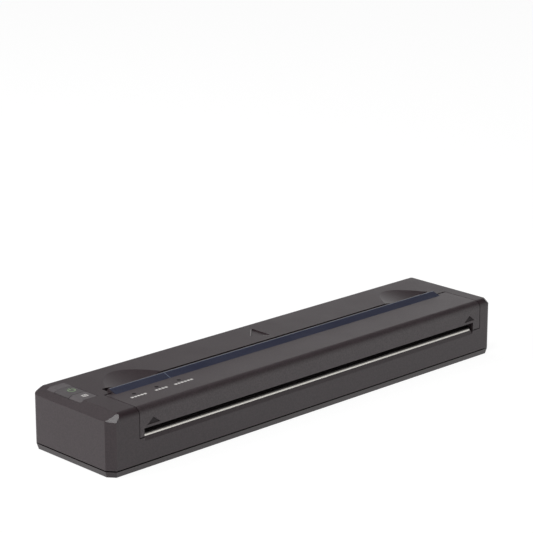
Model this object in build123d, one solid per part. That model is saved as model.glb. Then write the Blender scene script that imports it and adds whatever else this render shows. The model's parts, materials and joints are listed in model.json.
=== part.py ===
from build123d import *
import math
import os

# A4 portable thermal printer: a slim bar-shaped case with a paper slot along its front face,
# a release cover that hinges at the front and carries the platen roller, and a fixed rear half
# with the print head, the gear train, the boards and the battery.
# Millimetres. X runs along the length, -Y is the front with the feed slot, +Z is up.
# The origin is under the middle of the case, on the plane that the feet stand on.

# ---------------------------------------------------------------- case
left_end_length = 25.85
right_end_length = 19.15
body_depth = 55.0
wall = 1.8
floor_thickness = 1.8
foot_proud = 0.4
base_top = 3.2
seam_gap = 0.6
base_inset = 0.9
tongue_height = 1.6
tongue_thickness = 1.0
tongue_fit = 0.1
corner_chamfer_x = 3.3
corner_chamfer_y = 4.0
rear_left_radius = 2.4
front_right_radius = 2.0
rear_right_radius = 4.4
front_edge_radius = 3.4
rear_edge_radius = 1.2
right_edge_radius = 1.2
inner_edge_radius = 0.5
left_slope_length = 6.3
left_slope_drop = 3.1
left_corner_drop = 3.2
right_corner_drop = 2.4

# ---------------------------------------------------------------- clearances
running_fit = 0.06
seat_fit = 0.02
body_gap = 0.3
panel_gap = 0.25
cover_gap = 0.35

# ---------------------------------------------------------------- paper path
paper_width = 210.0
slot_overhang = 5.85
slot_floor_below_platen = 6.1
slot_roof_below_platen = 2.1
lip_bevel_height = 2.0
lip_bevel_depth = 0.8
lip_strip_height = 0.65
lip_strip_depth = 0.75
lip_strip_end_gap = 1.3
lip_strip_clearance = 0.05
guide_below_platen = 5.0
guide_thickness = 1.2
platen_from_rear = 29.8
platen_radius = 5.0
platen_headroom = 1.3
platen_core_radius = 3.0
journal_radius = 1.5
guide_arc_gap = 0.6
exit_from_platen = 6.2
guide_table_gap = 4.0
sensor_offset = 16.0
sensor_from_table = 3.7
sensor_hole_radius = 1.2
sensor_width = 6.0
sensor_length = 5.0
sensor_height = 3.0

# ---------------------------------------------------------------- release cover
cover_left_extra = 9.05
cover_right_extra = 11.55
cover_rear_before_platen = 0.6
cover_end_gap = 1.0
hinge_below_platen = 3.3
knuckle_radius = 3.6
tab_front_radius = 4.47
hinge_pin_radius = 0.9
hinge_block = 2.9
strip_left_extra = 4.35
strip_right_extra = 4.15
strip_depth = 4.5
strip_crest_after_platen = 0.6
ridge_depth = 1.1
ridge_height = 1.4
strip_thickness = 0.45
nose_depth = 1.5
nose_drop = 0.8
skirt = 1.35
skirt_height = 5.0
arrow_width = 7.8
arrow_height = 3.2
arrow_depth = 0.35
arrow_base_above_slot = 1.2
arrow_left_inset = 5.2
arrow_right_inset = 2.5
frame_plate = 1.3
frame_plate_gap = 0.25
rib_pitch = 20.0
rib_thickness = 1.2
indicator_radius = 0.6
indicator_from_strip = 4.9
indicator_pitch = 13.55
indicator_from_paper = 1.85
indicator_count = 3
indicator_board_depth = 5.0
indicator_board_thickness = 1.0
indicator_post_radius = 1.3
light_pipe_length = 3.8
light_pipe_gap = 0.2

# ---------------------------------------------------------------- finger recesses and centre mark
recess_depth = 1.4
recess_length = 15.1
recess_pad = 1.2
left_recess_width = 34.0
right_recess_width = 30.4
recess_from_strip = 2.0
mark_depth = 0.5
mark_length = 13.6
mark_width = 8.2
mark_from_exit = 3.7
mark_offset = 0.8

# ---------------------------------------------------------------- keys
panel_left_margin = 4.1
panel_width = 10.1
panel_rear_margin = 4.9
inlay_length = 5.5
power_key_length = 10.4
feed_key_length = 8.6
inlay_thickness = 1.0
key_cap_height = 2.1
key_flange = 0.45
key_flange_height = 1.0
key_stem_radius = 1.5
key_stem_height = 0.5
key_travel = 0.5
dome_radius = 3.0
dome_top_radius = 1.65
dome_height = 1.0
dome_sheet = 0.4
key_board_thickness = 1.2
key_boss_radius = 1.6
key_boss_front = 2.7
key_boss_rear = 1.9

# ---------------------------------------------------------------- gear train
pressure_angle = math.radians(20.0)
platen_teeth = 16
idler_teeth = 18
small_teeth = 12
big_teeth = 34
pinion_teeth = 10
train_module = 0.6
motor_module = 0.5
gear_width = 1.6
gear_gap = 0.3
gear_backlash = 0.15
addendum_share = 0.8
dedendum_share = 1.1
flank_steps = 4
reduction_angle = math.radians(30.0)
motor_angle = math.radians(-31.314)
stud_radius = 1.0
motor_radius = 8.0
motor_length = 21.0
motor_floor_gap = 0.4
motor_shaft_radius = 0.75
motor_boss_radius = 2.6
motor_screw_offset = 5.2
motor_cable_radius = 0.7
motor_cable_turn = 3.6
motor_cable_bend = 3.0

# ---------------------------------------------------------------- print head
head_front_gap = 0.3
head_end_inset = 2.5
head_below_platen = 6.4
head_above_platen = 2.6
substrate_thickness = 1.0
sink_thickness = 3.2
sink_below_platen = 9.9
sink_above_platen = 3.6
head_pivot_radius = 0.9
head_pivot_below_platen = 8.7
head_stand_margin = 1.0
head_flex_width = 30.0
head_spring_radius = 1.5
head_spring_wire = 0.3
head_spring_count = 4
head_spring_turns = 4

# ---------------------------------------------------------------- chassis
chassis_sheet = 1.4
chassis_floor = 1.0
chassis_front_before_platen = 1.7
chassis_wall_gap = 3.0
chassis_wall_sheet = 1.0
chassis_above_platen = 2.6
chassis_side_from_front = 8.5
chassis_side_from_rear = 5.5
chassis_side_rise = 5.0
chassis_side_bevel = 3.0
right_plate_extra = 5.65

# ---------------------------------------------------------------- electronics
board_thickness = 1.2
board_rise = 3.0
main_board_front = 3.3
main_board_gap = 2.2
main_board_end = 3.6
processor_from_centre = 33.0
processor_size = 11.0
processor_height = 1.2
memory_from_centre = 51.0
memory_size = 8.0
memory_height = 1.0
coil_from_end = 33.0
coil_size = 7.0
coil_height = 3.0
capacitor_from_end = 8.0
capacitor_pitch = 6.5
capacitor_radius = 2.5
capacitor_height = 5.4
resistor_pitch = 5.0
resistor_from_front = 4.5
radio_from_end = 43.0
radio_length = 16.0
radio_width = 12.0
radio_board = 0.8
radio_margin = 1.0
radio_antenna = 4.0
radio_can_height = 1.5
port_board_left = 49.5
port_board_length = 36.0
port_board_depth = 9.5
port_board_gap = 0.4
jack_width = 9.0
jack_height = 8.0
jack_depth = 9.0
jack_bore = 2.75
jack_pin = 0.8
jack_from_board = 9.5
usb_width = 8.94
usb_height = 3.26
usb_depth = 7.3
usb_shell = 0.3
usb_from_board = 26.0
port_clearance = 0.35

# ---------------------------------------------------------------- battery
battery_port_gap = 14.5
battery_thickness = 11.2
battery_height = 18.0
battery_rise = 2.0
battery_wall_gap = 0.3
battery_door_gap = 1.2
rail_width = 1.2
rail_inset = 1.5
door_height = 18.2
door_bottom = 4.7
door_pin_radius = 0.6
door_panel_gap = 0.3
door_hinge_lead = 1.9
door_lug = 2.0
scoop_radius = 4.0
chassis_screw_inset = 12.0
chassis_screw_from_front = 2.6
contact_depth = 3.0
contact_height = 12.0

# ---------------------------------------------------------------- fasteners and feet
screw_radius = 1.1
screw_head_radius = 2.2
screw_head_height = 1.2
case_screw_length = 8.5
boss_radius = 2.8
boss_height = 9.0
boss_from_outside = 4.4
boss_from_front = 12.5
boss_from_rear = 14.5
boss_after_platen = 4.8
boss_from_battery = 7.5
post_radius = 1.9
foot_radius = 4.0
foot_recess = 0.6
foot_from_end = 22.5
foot_from_side = 10.5
small_screw_radius = 0.8
small_head_radius = 1.6
small_head_height = 0.8

# ---------------------------------------------------------------- places that follow
body_length = paper_width + left_end_length + right_end_length
left_x = -body_length / 2
right_x = body_length / 2
front_y = -body_depth / 2
rear_y = body_depth / 2
platen_y = rear_y - platen_from_rear
hinge_y = front_y + knuckle_radius
floor_z = foot_proud + floor_thickness

# The gear train sets the height: the motor lies just above the floor, and the idler is below
# the platen gear along the line that the opening cover lifts it on.
platen_pitch = platen_teeth * train_module / 2
idler_pitch = idler_teeth * train_module / 2
small_pitch = small_teeth * train_module / 2
big_pitch = big_teeth * motor_module / 2
pinion_pitch = pinion_teeth * motor_module / 2
lift_y = -hinge_below_platen
lift_z = platen_y - hinge_y
lift_length = math.hypot(lift_y, lift_z)
idler_y = platen_y - (platen_pitch + idler_pitch) * lift_y / lift_length
reduction_y = idler_y + (idler_pitch + small_pitch) * math.cos(reduction_angle)
motor_y = reduction_y + (big_pitch + pinion_pitch) * math.cos(motor_angle)
motor_z = floor_z + motor_floor_gap + motor_radius
reduction_z = motor_z - (big_pitch + pinion_pitch) * math.sin(motor_angle)
idler_z = reduction_z - (idler_pitch + small_pitch) * math.sin(reduction_angle)
platen_z = idler_z + (platen_pitch + idler_pitch) * lift_z / lift_length

body_height = platen_z + platen_radius + platen_headroom + wall
top_z = body_height
under_top = top_z - wall
case_bottom = base_top + seam_gap
tongue_inset = wall + tongue_fit
hinge_height = platen_z - hinge_below_platen
slot_floor = platen_z - slot_floor_below_platen
slot_roof = platen_z - slot_roof_below_platen
guide_top = platen_z - guide_below_platen
head_bottom = platen_z - head_below_platen
head_top = platen_z + head_above_platen
sink_bottom = platen_z - sink_below_platen
sink_top = platen_z + sink_above_platen
head_pivot_z = platen_z - head_pivot_below_platen
chassis_top = platen_z + chassis_above_platen
paper_left = left_x + left_end_length
paper_right = paper_left + paper_width
paper_centre = (paper_left + paper_right) / 2
slot_left = paper_left - slot_overhang
slot_right = paper_right + slot_overhang
cover_left = paper_left - cover_left_extra
cover_right = paper_right + cover_right_extra
strip_left = paper_left - strip_left_extra
strip_right = paper_right + strip_right_extra
indicator_board_top = top_z - light_pipe_length - light_pipe_gap
lip_y = front_y + lip_bevel_depth
cover_rear_y = platen_y - cover_rear_before_platen
strip_crest_y = platen_y + strip_crest_after_platen
strip_foot_y = strip_crest_y - strip_depth
ridge_rear_y = strip_crest_y + ridge_depth
nose_y = ridge_rear_y + nose_depth
exit_rear_y = platen_y + exit_from_platen
recess_rear_y = exit_rear_y + recess_length
mark_front_y = exit_rear_y + mark_from_exit
indicator_y = strip_foot_y - indicator_from_strip
guide_table_rear = platen_y - platen_radius - guide_table_gap
sensor_y = guide_table_rear - sensor_from_table

# The gear train stands left of the platen, in two planes between the cover's frame plate
# and the chassis plate.
frame_left = (paper_left - frame_plate_gap - frame_plate, paper_left - frame_plate_gap)
frame_right = (paper_right + frame_plate_gap, paper_right + frame_plate_gap + frame_plate)
train_plane = (frame_left[0] - gear_gap - gear_width, frame_left[0] - gear_gap)
motor_plane = (train_plane[0] - gear_gap - gear_width, train_plane[0] - gear_gap)
plate_left = (motor_plane[0] - gear_gap - chassis_sheet, motor_plane[0] - gear_gap)
plate_right = (paper_right + right_plate_extra, paper_right + right_plate_extra + chassis_sheet)

switch_plunger_x = (plate_right[1] + 0.8, plate_right[1] + 2.2)
switch_plunger_y = (platen_y - 6.7, platen_y - 4.7)
sensor_x = paper_centre + sensor_offset

head_front = platen_y + platen_radius + head_front_gap
head_back = head_front + substrate_thickness
sink_back = head_back + sink_thickness
head_x = (paper_left + head_end_inset, paper_right - head_end_inset)
chassis_front_y = platen_y - chassis_front_before_platen
chassis_wall_y = sink_back + chassis_wall_gap
battery_front = chassis_wall_y + chassis_wall_sheet + battery_wall_gap

panel_x = (left_x + panel_left_margin, left_x + panel_left_margin + panel_width)
inlay_y = (rear_y - panel_rear_margin - inlay_length, rear_y - panel_rear_margin)
power_y = (inlay_y[0] - power_key_length, inlay_y[0])
feed_y = (power_y[0] - feed_key_length, power_y[0])
key_bottom = top_z - key_cap_height - key_flange_height - key_stem_height
key_board_top = key_bottom - key_travel - 0.1 - dome_height - dome_sheet

door_hinge_x = right_x - wall + 0.2
door_axis_radius = right_x - door_hinge_x
door_hinge_y = battery_front - door_hinge_lead
door_rear = battery_front + battery_thickness + 0.3
door_z = (door_bottom, door_bottom + door_height)

board_top = floor_z + board_rise + board_thickness
main_board_y = (front_y + main_board_front, chassis_front_y - main_board_gap)
main_board_x = (paper_left + main_board_end, paper_right - main_board_end)
port_board_x = (left_x + port_board_left, left_x + port_board_left + port_board_length)
port_board_rear = rear_y - wall - tongue_thickness - port_board_gap
port_board_y = (port_board_rear - port_board_depth, port_board_rear)
battery_x = (port_board_x[1] + battery_port_gap, right_x - wall - battery_door_gap)
jack_x = port_board_x[0] + jack_from_board
usb_x = port_board_x[0] + usb_from_board

case_bosses = [
    (left_x + boss_from_outside, front_y + boss_from_front),
    (left_x + boss_from_outside, rear_y - boss_from_rear),
    (right_x - boss_from_outside, front_y + boss_from_front),
    (right_x - boss_from_outside, platen_y + boss_after_platen),
    (battery_x[0] - boss_from_battery, rear_y - boss_from_outside),
]


# ---------------------------------------------------------------- helpers
def box(x, y, z):
    """Block between pairs of limits along X, Y and Z."""
    centre = [(low + high) / 2 for low, high in (x, y, z)]
    size = [high - low for low, high in (x, y, z)]
    return Pos(*centre) * Box(*size)


def rod_x(radius, x, y, z):
    return Pos((x[0] + x[1]) / 2, y, z) * Rot(0, 90, 0) * Cylinder(radius, x[1] - x[0])


def rod_y(radius, x, y, z):
    return Pos(x, (y[0] + y[1]) / 2, z) * Rot(90, 0, 0) * Cylinder(radius, y[1] - y[0])


def rod_z(radius, x, y, z):
    return Pos(x, y, (z[0] + z[1]) / 2) * Cylinder(radius, z[1] - z[0])


def prism_x(points, x):
    """Solid with the given (Y, Z) outline, between two X limits."""
    outline = Polyline(*[(x[0], y, z) for y, z in points], close=True)
    return extrude(make_face(outline.edges()), amount=x[1] - x[0], dir=(1, 0, 0))


def prism_y(points, y):
    """Solid with the given (X, Z) outline, between two Y limits."""
    outline = Polyline(*[(x, y[0], z) for x, z in points], close=True)
    return extrude(make_face(outline.edges()), amount=y[1] - y[0], dir=(0, 1, 0))


def prism_z(points, z):
    """Solid with the given (X, Y) outline, between two Z limits."""
    outline = Polyline(*[(x, y, z[0]) for x, y in points], close=True)
    return extrude(make_face(outline.edges()), amount=z[1] - z[0], dir=(0, 0, 1))


def grown(limits, amount):
    return (limits[0] - amount, limits[1] + amount)


def around(middle, half):
    return (middle - half, middle + half)


def save(node, solids):
    """Write one sub-part; several solids go in as one group."""
    pieces = solids if isinstance(solids, list) else [solids]
    bodies = [solid for piece in pieces for solid in piece.solids()]
    shape = bodies[0] if len(bodies) == 1 else Compound(children=bodies)
    export_step(shape, os.path.join("parts", node + ".step"))


# ---------------------------------------------------------------- case shells
def chamfer_legs(across, along, inset):
    """A chamfer's two legs once the sides and the chamfer itself are drawn in by inset."""
    spare = inset * (across + along - math.hypot(across, along))
    return across - spare / along, along - spare / across


def rounded(shape, place, radius):
    """The shape with its corner or edge nearest to the place rounded."""
    parts = shape.vertices() if isinstance(shape, Sketch) else shape.edges()
    nearest = min(parts, key=lambda part: (part.center() - Vector(*place)).length)
    return fillet([nearest], radius)


def case_plan(inset):
    """The case's outline seen from above, drawn in from its outer faces by inset."""
    x = (left_x + inset, right_x - inset)
    y = (front_y + inset, rear_y - inset)
    across, along = chamfer_legs(corner_chamfer_x, corner_chamfer_y, inset)
    corners = [(x[0] + across, y[0]), (x[1], y[0]), (x[1], y[1]), (x[0], y[1]), (x[0], y[0] + along)]
    plan = make_face(Polyline(*corners, close=True).edges())
    radii = (front_right_radius, rear_right_radius, rear_left_radius)
    for corner, radius in zip(corners[1:4], radii):
        plan = rounded(plan, corner, max(radius - inset, inner_edge_radius))
    return plan


def case_section(inset, front_radius, rear_radius):
    """The case's outline from front to rear, along the whole length."""
    x = (left_x - 1, right_x + 1)
    y = (front_y + inset, rear_y - inset)
    top = top_z - inset
    section = box(x, y, (case_bottom - 1, top))
    section = rounded(section, (0, y[0], top), front_radius)
    return rounded(section, (0, y[1], top), rear_radius)


def case_profile(inset, right_radius):
    """The case's outline from end to end, with the sloped edge at the left."""
    x = (left_x + inset, right_x - inset)
    top = top_z - inset
    low = case_bottom - 1
    across, drop = chamfer_legs(left_slope_length, left_slope_drop, inset)
    outline = [(x[0], low), (x[0], top - drop), (x[0] + across, top), (x[1], top), (x[1], low)]
    profile = prism_y(outline, (front_y - 1, rear_y + 1))
    return rounded(profile, (x[1], 0, top), right_radius)


def case_block(inset, front_radius, rear_radius, right_radius):
    """The case's block, drawn in from its outer faces by inset."""
    block = extrude(Pos(0, 0, case_bottom) * case_plan(inset), amount=top_z - inset - case_bottom)
    block &= case_section(inset, front_radius, rear_radius)
    return block & case_profile(inset, right_radius)


def corner_slope(x, y, side, drop):
    """What a small sloped face takes off a front corner at the top."""
    slope = Plane(origin=(x, y, top_z - drop), z_dir=(side, -1, math.sqrt(2)))
    above = (Align.CENTER, Align.CENTER, Align.MIN)
    return slope * Box(4 * corner_chamfer_y, 4 * corner_chamfer_y, top_z, align=above)


def outer_block():
    block = case_block(0.0, front_edge_radius, rear_edge_radius, right_edge_radius)
    block -= corner_slope(left_x + corner_chamfer_x / 2, front_y + corner_chamfer_y / 2, -1, left_corner_drop)
    middle = front_right_radius * (1 - math.sqrt(0.5))
    return block - corner_slope(right_x - middle, front_y + middle, 1, right_corner_drop)


def inner_block():
    return case_block(wall, front_edge_radius - wall, inner_edge_radius, inner_edge_radius)


def cover_opening():
    """What the case leaves open for the release cover, the exit slot and the cover's knuckles."""
    above = (slot_floor, top_z + 5)
    main = box((cover_left, cover_right), (front_y - 5, cover_rear_y), above)
    exit_slot = box((strip_left - cover_gap, strip_right + cover_gap), (cover_rear_y - 1, exit_rear_y), above)
    pockets = [
        rod_x(tab_front_radius + body_gap, x, hinge_y, hinge_height)
        for x in ((cover_left, slot_left), (slot_right, cover_right))
    ]
    return [main, exit_slot] + pockets


def lip_bevel():
    """The sloped face under the feed slot."""
    low = slot_floor - lip_bevel_height
    outline = [
        (front_y - 1, low),
        (front_y, low),
        (lip_y, slot_floor),
        (lip_y, slot_floor + 1),
        (front_y - 1, slot_floor + 1),
    ]
    return prism_x(outline, (slot_left, slot_right))


def finger_recess(x):
    """Shallow scoop that is deepest at the exit slot and runs out behind it."""
    radius = (x[1] - x[0]) ** 2 / (8 * recess_depth) + recess_depth / 2
    tilt = math.degrees(math.atan(recess_depth / recess_length))
    deepest = Pos((x[0] + x[1]) / 2, exit_rear_y, top_z - recess_depth) * Rot(tilt, 0, 0)
    scoop = deepest * Pos(0, 0, radius) * Rot(90, 0, 0) * Cylinder(radius, 3 * recess_length)
    return scoop & box(x, (exit_rear_y - 1, recess_rear_y + 1), (under_top, top_z + 1))


def recess_spans():
    left = (strip_left + recess_from_strip, strip_left + recess_from_strip + left_recess_width)
    right = (strip_right - right_recess_width, strip_right)
    return left, right


def centre_mark():
    """Shallow triangular dip behind the middle of the exit slot."""
    x = paper_centre + mark_offset
    corners = [
        (x, mark_front_y),
        (x, mark_front_y + mark_length),
        (x - mark_width, mark_front_y + 0.4 * mark_length),
    ]
    return prism_z(corners, (top_z - mark_depth, top_z + 1))


def hinge_blocks():
    """Blocks behind the front wall that hold the cover's hinge pins."""
    blocks = []
    for x in ((cover_left - hinge_block, cover_left), (cover_right, cover_right + hinge_block)):
        y = (front_y + wall - 0.2, hinge_y + knuckle_radius)
        z = (hinge_height - knuckle_radius, hinge_height + knuckle_radius)
        blocks.append(box(x, y, z) - rod_x(hinge_pin_radius + seat_fit, x, hinge_y, hinge_height))
    return blocks


def door_opening():
    """Battery opening in the right-hand end, with a round seat for the door's hinge barrel."""
    x = (right_x - wall - 1, right_x + 1)
    z = grown(door_z, door_panel_gap)
    radius = door_axis_radius + door_panel_gap
    panel = box(x, (door_hinge_y, door_rear), z)
    seat = rod_z(radius, door_hinge_x, door_hinge_y, z)
    mouth = box((door_hinge_x, right_x + 1), (door_hinge_y - radius, door_hinge_y + 1), z)
    return [panel, seat, mouth]


def door_lugs():
    """Lugs above and below the battery opening for the door's pin."""
    y = (door_hinge_y - door_lug, battery_front - 0.2)
    x = (door_hinge_x - door_lug, right_x - wall + 0.1)
    low = box(x, y, (case_bottom, door_z[0] - door_panel_gap))
    high = box(x, y, (door_z[1] + door_panel_gap, door_z[1] + door_panel_gap + door_lug))
    return [low, high]


def port_cuts():
    """Openings in the rear wall for the power jack and the USB-C socket."""
    y = (rear_y - wall - 1, rear_y + 1)
    jack = rod_y(jack_height / 2 + port_clearance, jack_x, y, board_top + jack_height / 2)
    width = usb_width + 2 * port_clearance
    height = usb_height + 2 * port_clearance
    usb = rounded_slot(width, height, y, usb_x, board_top + usb_height / 2)
    return [jack, usb]


def rounded_slot(width, height, y, x, z):
    """Flat-sided bar with round ends, lying along Y."""
    radius = height / 2
    half = width / 2 - radius
    ends = [rod_y(radius, x + side * half, y, z) for side in (-1, 1)]
    return box((x - half, x + half), y, (z - radius, z + radius)) + ends


def case_boss(x, y):
    post = rod_z(boss_radius, x, y, (case_bottom, case_bottom + boss_height))
    return post - rod_z(screw_radius + seat_fit, x, y, (case_bottom, case_bottom + case_screw_length))


def key_bosses():
    """Two posts under the top wall that carry the key board."""
    return [
        rod_z(key_boss_radius, px, py, (key_board_top, under_top + 0.1))
        - rod_z(small_screw_radius + seat_fit, px, py, (key_board_top, key_board_top + 3.0))
        for px, py in key_screw_places()
    ]


def upper_case():
    shell = outer_block() - inner_block()
    for x in recess_spans():
        y = (exit_rear_y, recess_rear_y - 3.0)
        shell += box(grown(x, 0.6), y, (under_top - recess_pad, under_top + 0.1))
    shell += [case_boss(x, y) for x, y in case_bosses]
    shell += hinge_blocks()
    shell += door_lugs()
    shell += key_bosses()
    for cut in cover_opening() + door_opening() + port_cuts():
        shell -= cut
    shell -= lip_bevel()
    for x in recess_spans():
        shell -= finger_recess(x)
    shell -= centre_mark()
    shell -= box(panel_x, (feed_y[0], power_y[1]), (under_top - 2, top_z + 1))
    shell -= box(panel_x, inlay_y, (top_z - inlay_thickness, top_z + 1))
    shell -= rod_z(door_pin_radius + seat_fit, door_hinge_x, door_hinge_y, (case_bottom, door_z[1] + 2.0))
    return shell


def tapered_base():
    """Base outline that narrows towards the underside."""
    height = base_top - foot_proud
    plan = Pos(0, 0, base_top) * case_plan(0.0)
    angle = math.degrees(math.atan(base_inset / height))
    return extrude(plan, amount=height, dir=(0, 0, -1), taper=angle)


def base_outline(inset):
    """The case's plan, drawn in by inset, on the base's floor."""
    return Pos(0, 0, floor_z) * case_plan(inset)


def base_tongue():
    """Rim that stands up inside the upper case, open where its bosses and battery door are."""
    height = tongue_height + base_top - floor_z
    rim = extrude(base_outline(tongue_inset), amount=height)
    rim -= extrude(base_outline(tongue_inset + tongue_thickness), amount=height)
    above = (case_bottom - 0.2, case_bottom + tongue_height)
    for x, y in case_bosses:
        rim -= rod_z(boss_radius + 0.2, x, y, above)
    return rim - box((door_hinge_x - 3.0, right_x), (door_hinge_y - 3.0, door_rear + 1.0), above)


def board_post(x, y):
    """Post on the base's floor with a pilot hole for a board screw."""
    post = rod_z(post_radius, x, y, (floor_z - 0.1, board_top - board_thickness))
    return post - rod_z(small_screw_radius + seat_fit, x, y, (floor_z, board_top))


def battery_rails():
    """Two rails that the battery lies on."""
    places = (battery_front + rail_inset, battery_front + battery_thickness - rail_inset - rail_width)
    x = (battery_x[0], battery_x[1] - rail_inset)
    return [box(x, (y, y + rail_width), (floor_z - 0.1, floor_z + battery_rise)) for y in places]


def lower_case():
    tray = tapered_base() - extrude(base_outline(tongue_inset + tongue_thickness), amount=base_top)
    tray += base_tongue()
    tray += [rod_z(boss_radius, x, y, (floor_z - 0.1, case_bottom)) for x, y in case_bosses]
    tray += [board_post(x, y) for x, y in main_board_posts() + port_board_posts()]
    tray += battery_rails()
    for x, y in case_bosses:
        tray -= rod_z(screw_radius + 0.1, x, y, (foot_proud, case_bottom))
        tray -= rod_z(screw_head_radius + 0.2, x, y, (foot_proud - 1, foot_proud + screw_head_height))
    for x, y in foot_places():
        tray -= rod_z(foot_radius + seat_fit, x, y, (foot_proud - 1, foot_proud + foot_recess))
    return tray


def foot_places():
    x = body_length / 2 - foot_from_end
    y = body_depth / 2 - foot_from_side
    return [(sx * x, sy * y) for sx in (-1, 1) for sy in (-1, 1)]


def rubber_feet():
    return [rod_z(foot_radius, x, y, (0, foot_proud + foot_recess)) for x, y in foot_places()]


def case_screws():
    """Screws driven up through the base into the upper case's bosses."""
    head = (foot_proud, foot_proud + screw_head_height)
    screws = []
    for x, y in case_bosses:
        shank = rod_z(screw_radius, x, y, (head[1] - 0.1, case_bottom + case_screw_length - 0.5))
        cross = box(around(x, 1.2), around(y, 0.3), (head[0] - 1, head[0] + 0.6))
        cross += box(around(x, 0.3), around(y, 1.2), (head[0] - 1, head[0] + 0.6))
        screws.append(rod_z(screw_head_radius, x, y, head) + shank - cross)
    return screws


# ---------------------------------------------------------------- release cover
def cover_outline():
    """Space that the cover's skin fills: the whole cover, its rear tongue and its end tabs."""
    x = (cover_left + cover_gap, cover_right - cover_gap)
    z = (slot_roof, top_z + 5)
    main = box(x, (front_y - 1, cover_rear_y - cover_end_gap), z)
    tongue = box((strip_left, strip_right), (cover_rear_y - cover_end_gap - 1, ridge_rear_y), z)
    return main + tongue


def ridge():
    """Raised nose along the cover's rear edge, behind the coloured strip."""
    crest = top_z + ridge_height
    outline = [
        (strip_foot_y, under_top),
        (strip_foot_y, top_z),
        (strip_crest_y, crest),
        (ridge_rear_y, crest),
        (nose_y, top_z - nose_drop),
        (nose_y - 0.6, under_top),
    ]
    return prism_x(outline, (strip_left, strip_right))


def strip_outline():
    crest = top_z + ridge_height
    return [
        (strip_foot_y, top_z - strip_thickness),
        (strip_foot_y, top_z),
        (strip_crest_y, crest),
        (strip_crest_y, crest - strip_thickness),
    ]


def blue_strip():
    return prism_x(strip_outline(), (strip_left, strip_right))


def tab_spans():
    left = (cover_left + cover_gap, slot_left - cover_gap)
    right = (slot_right + cover_gap, cover_right - cover_gap)
    return left, right


def cover_tab(x):
    """Hinge knuckle with its flush front and the web that joins it to the cover."""
    web = box(x, (front_y, hinge_y + knuckle_radius), (hinge_height, hinge_height + knuckle_radius))
    low = (slot_floor - 1, hinge_height)
    front = rod_x(tab_front_radius, x, hinge_y, hinge_height) & box(x, (front_y, hinge_y), low)
    return rod_x(knuckle_radius, x, hinge_y, hinge_height) + web + front


def insert_arrows():
    """Recessed triangles above the two ends of the feed slot."""
    base = slot_roof + arrow_base_above_slot
    half = arrow_width / 2
    arrows = []
    for x in (slot_left + arrow_left_inset, slot_right - arrow_right_inset):
        points = [(x - half, front_y, base), (x + half, front_y, base), (x, front_y, base + arrow_height)]
        face = make_face(Polyline(*points, close=True).edges())
        arrows.append(extrude(face, amount=arrow_depth, dir=(0, 1, 0)))
    return arrows


def indicator_places():
    first = paper_left + indicator_from_paper
    return [first + k * indicator_pitch for k in range(indicator_count)]


def indicator_posts():
    """Posts under the cover's top that carry the indicator board."""
    x = indicator_places()
    z = (indicator_board_top, under_top + 0.1)
    return [
        rod_z(indicator_post_radius, (x[k] + x[k + 1]) / 2, indicator_y, z)
        for k in range(indicator_count - 1)
    ]


def cover_skirts():
    x = (cover_left + cover_gap, cover_right - cover_gap)
    y = (front_y + wall - 0.1, cover_rear_y - cover_end_gap)
    z = (under_top - skirt_height, under_top + 0.1)
    return [box((x[0], x[0] + skirt), y, z), box((x[1] - skirt, x[1]), y, z)]


def switch_post():
    """Rib that presses the cover switch when the cover is shut."""
    return box(switch_plunger_x, switch_plunger_y, (chassis_top + body_gap, under_top + 0.1))


def cover_shell():
    outer = outer_block()
    skin = outer - inner_block()
    shell = skin & cover_outline()
    shell += ridge()
    extras = [cover_tab(x) for x in tab_spans()] + cover_skirts() + indicator_posts() + [switch_post()]
    for extra in extras:
        shell += extra & outer
    shell -= blue_strip()
    for arrow in insert_arrows():
        shell -= arrow
    for x in tab_spans():
        shell -= rod_x(hinge_pin_radius + running_fit, grown(x, 1), hinge_y, hinge_height)
    for x in indicator_places():
        shell -= rod_z(indicator_radius + seat_fit, x, indicator_y, (under_top - 1, top_z + 1))
    return shell


def hinge_pins():
    """Pins held in the case's hinge blocks, which the cover's knuckles turn on."""
    left = (cover_left - hinge_block, slot_left - cover_gap)
    right = (slot_right + cover_gap, cover_right + hinge_block)
    return [rod_x(hinge_pin_radius, x, hinge_y, hinge_height) for x in (left, right)]


def light_pipes():
    pipes = []
    for x in indicator_places():
        pipe = rod_z(indicator_radius, x, indicator_y, (top_z - light_pipe_length, top_z))
        pipes.append(pipe + rod_z(2 * indicator_radius, x, indicator_y, (under_top - 0.8, under_top)))
    return pipes


def indicator_board():
    x = indicator_places()
    y = around(indicator_y, indicator_board_depth / 2)
    z = (indicator_board_top - indicator_board_thickness, indicator_board_top)
    return box(grown((x[0], x[-1]), 1.4), y, z)


def frame_plate_outline():
    """Side plate of the cover's inner frame, from the cover's top down past the platen's journal."""
    low = platen_z - journal_radius - 1.9
    return [
        (hinge_y + 4.5, under_top),
        (hinge_y + 4.5, under_top - 4.2),
        (platen_y - platen_radius - 1.5, low),
        (platen_y + 3.4, low),
        (platen_y + 3.4, under_top - 1.2),
        (platen_y + 2.3, under_top),
    ]


def upper_guide_outline():
    """Guide plate that leads the paper's top face down to the platen."""
    front = front_y + wall + body_gap
    rear = platen_y - platen_radius - 1.1
    return [
        (front, slot_roof + 0.2),
        (front, slot_roof + 0.2 + guide_thickness),
        (rear, guide_top + 1.9 + guide_thickness),
        (rear, guide_top + 1.9),
    ]


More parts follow.
